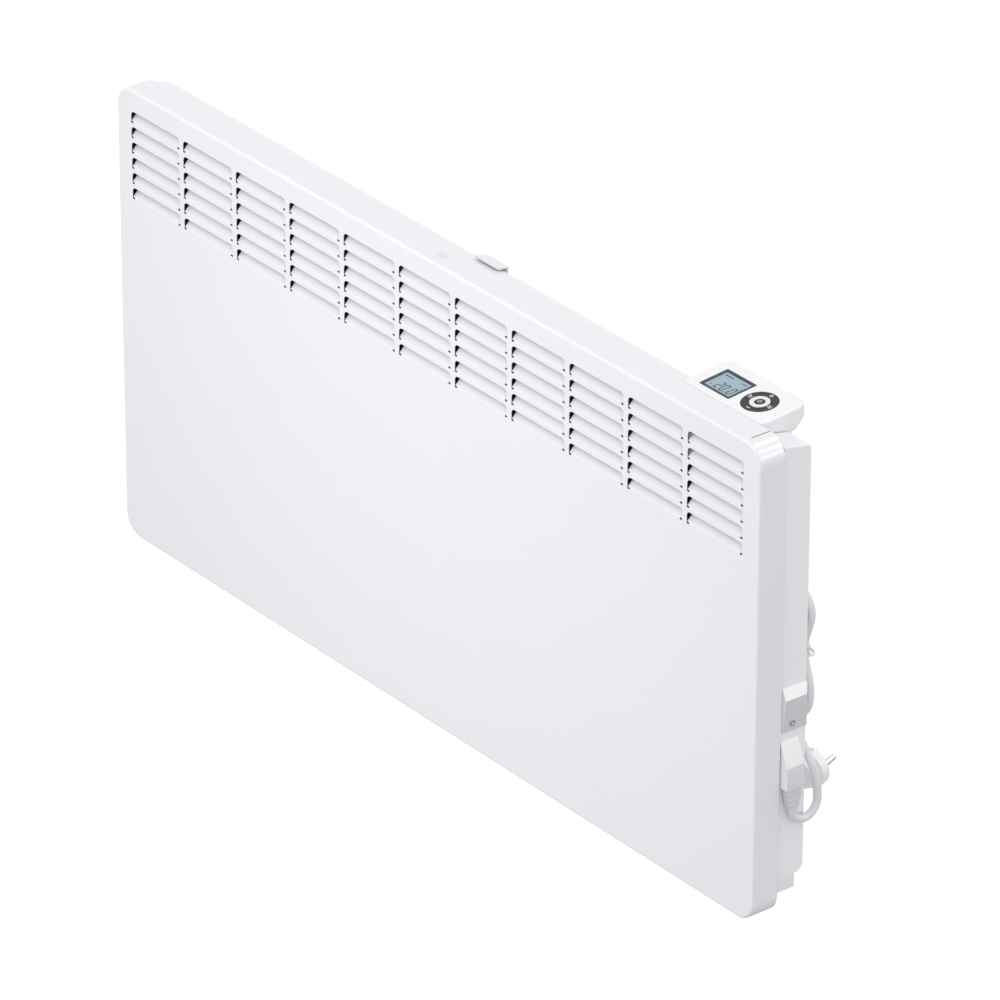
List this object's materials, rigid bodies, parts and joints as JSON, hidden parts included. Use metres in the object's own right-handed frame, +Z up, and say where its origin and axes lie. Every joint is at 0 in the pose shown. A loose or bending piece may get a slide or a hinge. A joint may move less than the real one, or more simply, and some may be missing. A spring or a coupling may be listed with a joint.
{
  "type": "wall panel convector heater",
  "caption": "Flat wall-hung electric convector heater with louvred steel front, top control unit with display and keys, tilting wall bracket and folded mains lead.",
  "frame": {"origin": "centre of the wall bracket's four fixing holes, on the wall plane", "axes": "+X to the right seen from the front of the heater, +Y into the wall, +Z up"},
  "size_m": [0.9024, 0.108, 0.4562],
  "materials": {
    "zinc_plate": "zinc plated, satin",
    "rubber_pad": "matt",
    "spring_wire": "bright",
    "latch_plate": "fine-grained semi-matt powder coat",
    "pale_pad": "matt",
    "white_powder_coat": "fine-grained semi-matt powder coat",
    "painted_screw": "satin",
    "bright_steel": "polished",
    "bare_aluminium": "mill finish",
    "sheath_steel": "heat tinted",
    "silicone": "matt",
    "cutout_ceramic": "matt",
    "white_plastic": "fine satin",
    "board_green": "solder mask",
    "black_plastic": "matt",
    "terminal_plastic": "matt",
    "wire_red": "silicone sleeve",
    "wire_brown": "satin",
    "wire_green": "satin",
    "brass_stud": "turned",
    "sensor_plastic": "matt",
    "wire_grey": "satin",
    "display_bezel": "gloss",
    "display_glass": "backlit display behind clear window",
    "switch_plastic": "matt",
    "island_white": "satin gloss",
    "outlet_grey": "satin",
    "cord_grey": "satin vinyl",
    "tie_white": "satin",
    "plug_vinyl": "satin vinyl",
    "nickel_plate": "nickel plated, polished",
    "key_dark": "satin gloss"
  },
  "bodies": {
    "bracket": {"wall_bracket": "zinc_plate", "bracket_pads": "rubber_pad", "latch_spring": "spring_wire"},
    "latch": {"latch": "latch_plate", "latch_pad": "pale_pad"},
    "heater": {"front_cover": "white_powder_coat", "rear_casing": "white_powder_coat", "base_grille": "white_powder_coat", "cover_brackets": "zinc_plate", "cover_screws": "painted_screw", "pivot_ears": "zinc_plate", "pivot_pins": "bright_steel", "heat_baffle": "bare_aluminium", "element_wings": "bare_aluminium", "element_sheath": "sheath_steel", "element_bushes": "silicone", "element_brackets": "zinc_plate", "thermal_cutout": "cutout_ceramic", "control_base": "white_plastic", "power_board": "board_green", "power_relay": "black_plastic", "terminal_block": "terminal_plastic", "element_wires": "wire_red", "supply_leads": "wire_brown", "earth_wire": "wire_green", "earth_stud": "brass_stud", "room_sensor": "sensor_plastic", "sensor_wire": "wire_grey", "control_head": "white_plastic", "control_screws": "bright_steel", "display_frame": "display_bezel", "display_window": "display_glass", "display_board": "board_green", "key_switches": "switch_plastic", "key_island": "island_white", "cable_box": "outlet_grey", "outlet_cover": "outlet_grey", "cable_screws": "bright_steel", "strain_relief": "cord_grey", "mains_cord": "cord_grey", "cord_hank": "cord_grey", "hank_tie": "tie_white", "plug_cord": "cord_grey", "plug_body": "plug_vinyl", "plug_pins": "nickel_plate", "earth_clips": "nickel_plate"},
    "key_left": {"key_left": "key_dark"},
    "key_right": {"key_right": "key_dark"},
    "key_front": {"key_front": "key_dark"},
    "key_rear": {"key_rear": "key_dark"},
    "key_power": {"key_power": "key_dark"}
  },
  "joints": [
    {"name": "heater_tilt", "type": "hinge", "parent": "bracket", "child": "heater", "pos_m": [0, -0.044, -0.165], "axis": [1, 0, 0], "range_deg": [0, 20]},
    {"name": "latch_slide", "type": "slide", "parent": "bracket", "child": "latch", "axis": [0, 0, 1], "range_m": [0, 0.006], "stiffness_N_per_m": 400, "springref_m": -0.008, "deforming": ["latch_spring"]},
    {"name": "key_left_press", "type": "slide", "parent": "heater", "child": "key_left", "axis": [0, 0.0941, -0.9956], "range_m": [0, 0.0008], "stiffness_N_per_m": 300, "springref_m": -0.0006},
    {"name": "key_right_press", "type": "slide", "parent": "heater", "child": "key_right", "axis": [0, 0.0941, -0.9956], "range_m": [0, 0.0008], "stiffness_N_per_m": 300, "springref_m": -0.0006},
    {"name": "key_front_press", "type": "slide", "parent": "heater", "child": "key_front", "axis": [0, 0.0941, -0.9956], "range_m": [0, 0.0008], "stiffness_N_per_m": 300, "springref_m": -0.0006},
    {"name": "key_rear_press", "type": "slide", "parent": "heater", "child": "key_rear", "axis": [0, 0.0941, -0.9956], "range_m": [0, 0.0008], "stiffness_N_per_m": 300, "springref_m": -0.0006},
    {"name": "key_power_press", "type": "slide", "parent": "heater", "child": "key_power", "axis": [0, 0.0941, -0.9956], "range_m": [0, 0.0008], "stiffness_N_per_m": 300, "springref_m": -0.0006}
  ]
}
